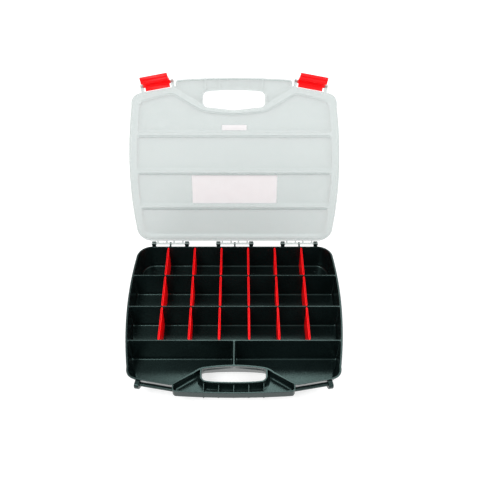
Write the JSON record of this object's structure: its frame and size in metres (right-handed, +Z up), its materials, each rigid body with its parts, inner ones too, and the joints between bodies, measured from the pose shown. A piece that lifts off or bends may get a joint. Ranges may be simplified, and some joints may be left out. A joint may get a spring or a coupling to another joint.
{
  "type": "parts organizer",
  "caption": "Flat carrying case for small parts: a deep tray with lift-out dividers, a see-through hinged lid, a split handle and snap latches on slanted front corners.",
  "frame": {"origin": "a point on the tray's flat underside, on the centre line and 160 mm in front of the back wall's middle", "axes": "+X to the object's right as the picture shows it, +Y towards the hinges, +Z up from the underside"},
  "size_m": [0.38, 0.4095, 0.3855],
  "materials": {
    "tray_plastic": "injection-moulded black polypropylene, satin",
    "lid_plastic": "clear natural polypropylene, slightly frosted",
    "latch_plastic": "red polypropylene, satin",
    "divider_plastic": "red polypropylene, satin",
    "label_paper": "coated white paper, blank"
  },
  "bodies": {
    "tray": {"base_tray": "tray_plastic"},
    "lid": {"lid": "lid_plastic", "contents_label": "label_paper", "small_sticker": "label_paper"},
    "latch_left": {"latch_left": "latch_plastic"},
    "latch_right": {"latch_right": "latch_plastic"},
    "divider_back_1": {"divider_back_1": "divider_plastic"},
    "divider_back_2": {"divider_back_2": "divider_plastic"},
    "divider_back_3": {"divider_back_3": "divider_plastic"},
    "divider_back_4": {"divider_back_4": "divider_plastic"},
    "divider_back_5": {"divider_back_5": "divider_plastic"},
    "divider_back_6": {"divider_back_6": "divider_plastic"},
    "divider_middle_1": {"divider_middle_1": "divider_plastic"},
    "divider_middle_2": {"divider_middle_2": "divider_plastic"},
    "divider_middle_3": {"divider_middle_3": "divider_plastic"},
    "divider_middle_4": {"divider_middle_4": "divider_plastic"},
    "divider_middle_5": {"divider_middle_5": "divider_plastic"},
    "divider_middle_6": {"divider_middle_6": "divider_plastic"},
    "divider_front_1": {"divider_front_1": "divider_plastic"},
    "divider_front_2": {"divider_front_2": "divider_plastic"},
    "divider_front_3": {"divider_front_3": "divider_plastic"},
    "divider_front_4": {"divider_front_4": "divider_plastic"},
    "divider_front_5": {"divider_front_5": "divider_plastic"},
    "divider_front_6": {"divider_front_6": "divider_plastic"}
  },
  "joints": [
    {"name": "lid_hinge", "type": "hinge", "parent": "tray", "child": "lid", "pos_m": [0, 0.1674, 0.0565], "axis": [-1, 0, 0], "range_deg": [-104, 0]},
    {"name": "latch_left_pivot", "type": "hinge", "parent": "lid", "child": "latch_left", "pos_m": [-0.12851, 0.2473, 0.35835], "axis": [-0.9829, -0.0446, -0.1788], "range_deg": [-45, 65]},
    {"name": "latch_right_pivot", "type": "hinge", "parent": "lid", "child": "latch_right", "pos_m": [0.12851, 0.2473, 0.35835], "axis": [-0.9829, 0.0446, 0.1788], "range_deg": [-45, 65]},
    {"name": "divider_back_1_lift", "type": "slide", "parent": "tray", "child": "divider_back_1", "axis": [0, 0, 1], "range_m": [0, 0.056]},
    {"name": "divider_back_2_lift", "type": "slide", "parent": "tray", "child": "divider_back_2", "axis": [0, 0, 1], "range_m": [0, 0.056]},
    {"name": "divider_back_3_lift", "type": "slide", "parent": "tray", "child": "divider_back_3", "axis": [0, 0, 1], "range_m": [0, 0.056]},
    {"name": "divider_back_4_lift", "type": "slide", "parent": "tray", "child": "divider_back_4", "axis": [0, 0, 1], "range_m": [0, 0.056]},
    {"name": "divider_back_5_lift", "type": "slide", "parent": "tray", "child": "divider_back_5", "axis": [0, 0, 1], "range_m": [0, 0.056]},
    {"name": "divider_back_6_lift", "type": "slide", "parent": "tray", "child": "divider_back_6", "axis": [0, 0, 1], "range_m": [0, 0.056]},
    {"name": "divider_middle_1_lift", "type": "slide", "parent": "tray", "child": "divider_middle_1", "axis": [0, 0, 1], "range_m": [0, 0.056]},
    {"name": "divider_middle_2_lift", "type": "slide", "parent": "tray", "child": "divider_middle_2", "axis": [0, 0, 1], "range_m": [0, 0.056]},
    {"name": "divider_middle_3_lift", "type": "slide", "parent": "tray", "child": "divider_middle_3", "axis": [0, 0, 1], "range_m": [0, 0.056]},
    {"name": "divider_middle_4_lift", "type": "slide", "parent": "tray", "child": "divider_middle_4", "axis": [0, 0, 1], "range_m": [0, 0.056]},
    {"name": "divider_middle_5_lift", "type": "slide", "parent": "tray", "child": "divider_middle_5", "axis": [0, 0, 1], "range_m": [0, 0.056]},
    {"name": "divider_middle_6_lift", "type": "slide", "parent": "tray", "child": "divider_middle_6", "axis": [0, 0, 1], "range_m": [0, 0.056]},
    {"name": "divider_front_1_lift", "type": "slide", "parent": "tray", "child": "divider_front_1", "axis": [0, 0, 1], "range_m": [0, 0.056]},
    {"name": "divider_front_2_lift", "type": "slide", "parent": "tray", "child": "divider_front_2", "axis": [0, 0, 1], "range_m": [0, 0.056]},
    {"name": "divider_front_3_lift", "type": "slide", "parent": "tray", "child": "divider_front_3", "axis": [0, 0, 1], "range_m": [0, 0.056]},
    {"name": "divider_front_4_lift", "type": "slide", "parent": "tray", "child": "divider_front_4", "axis": [0, 0, 1], "range_m": [0, 0.056]},
    {"name": "divider_front_5_lift", "type": "slide", "parent": "tray", "child": "divider_front_5", "axis": [0, 0, 1], "range_m": [0, 0.056]},
    {"name": "divider_front_6_lift", "type": "slide", "parent": "tray", "child": "divider_front_6", "axis": [0, 0, 1], "range_m": [0, 0.056]}
  ]
}
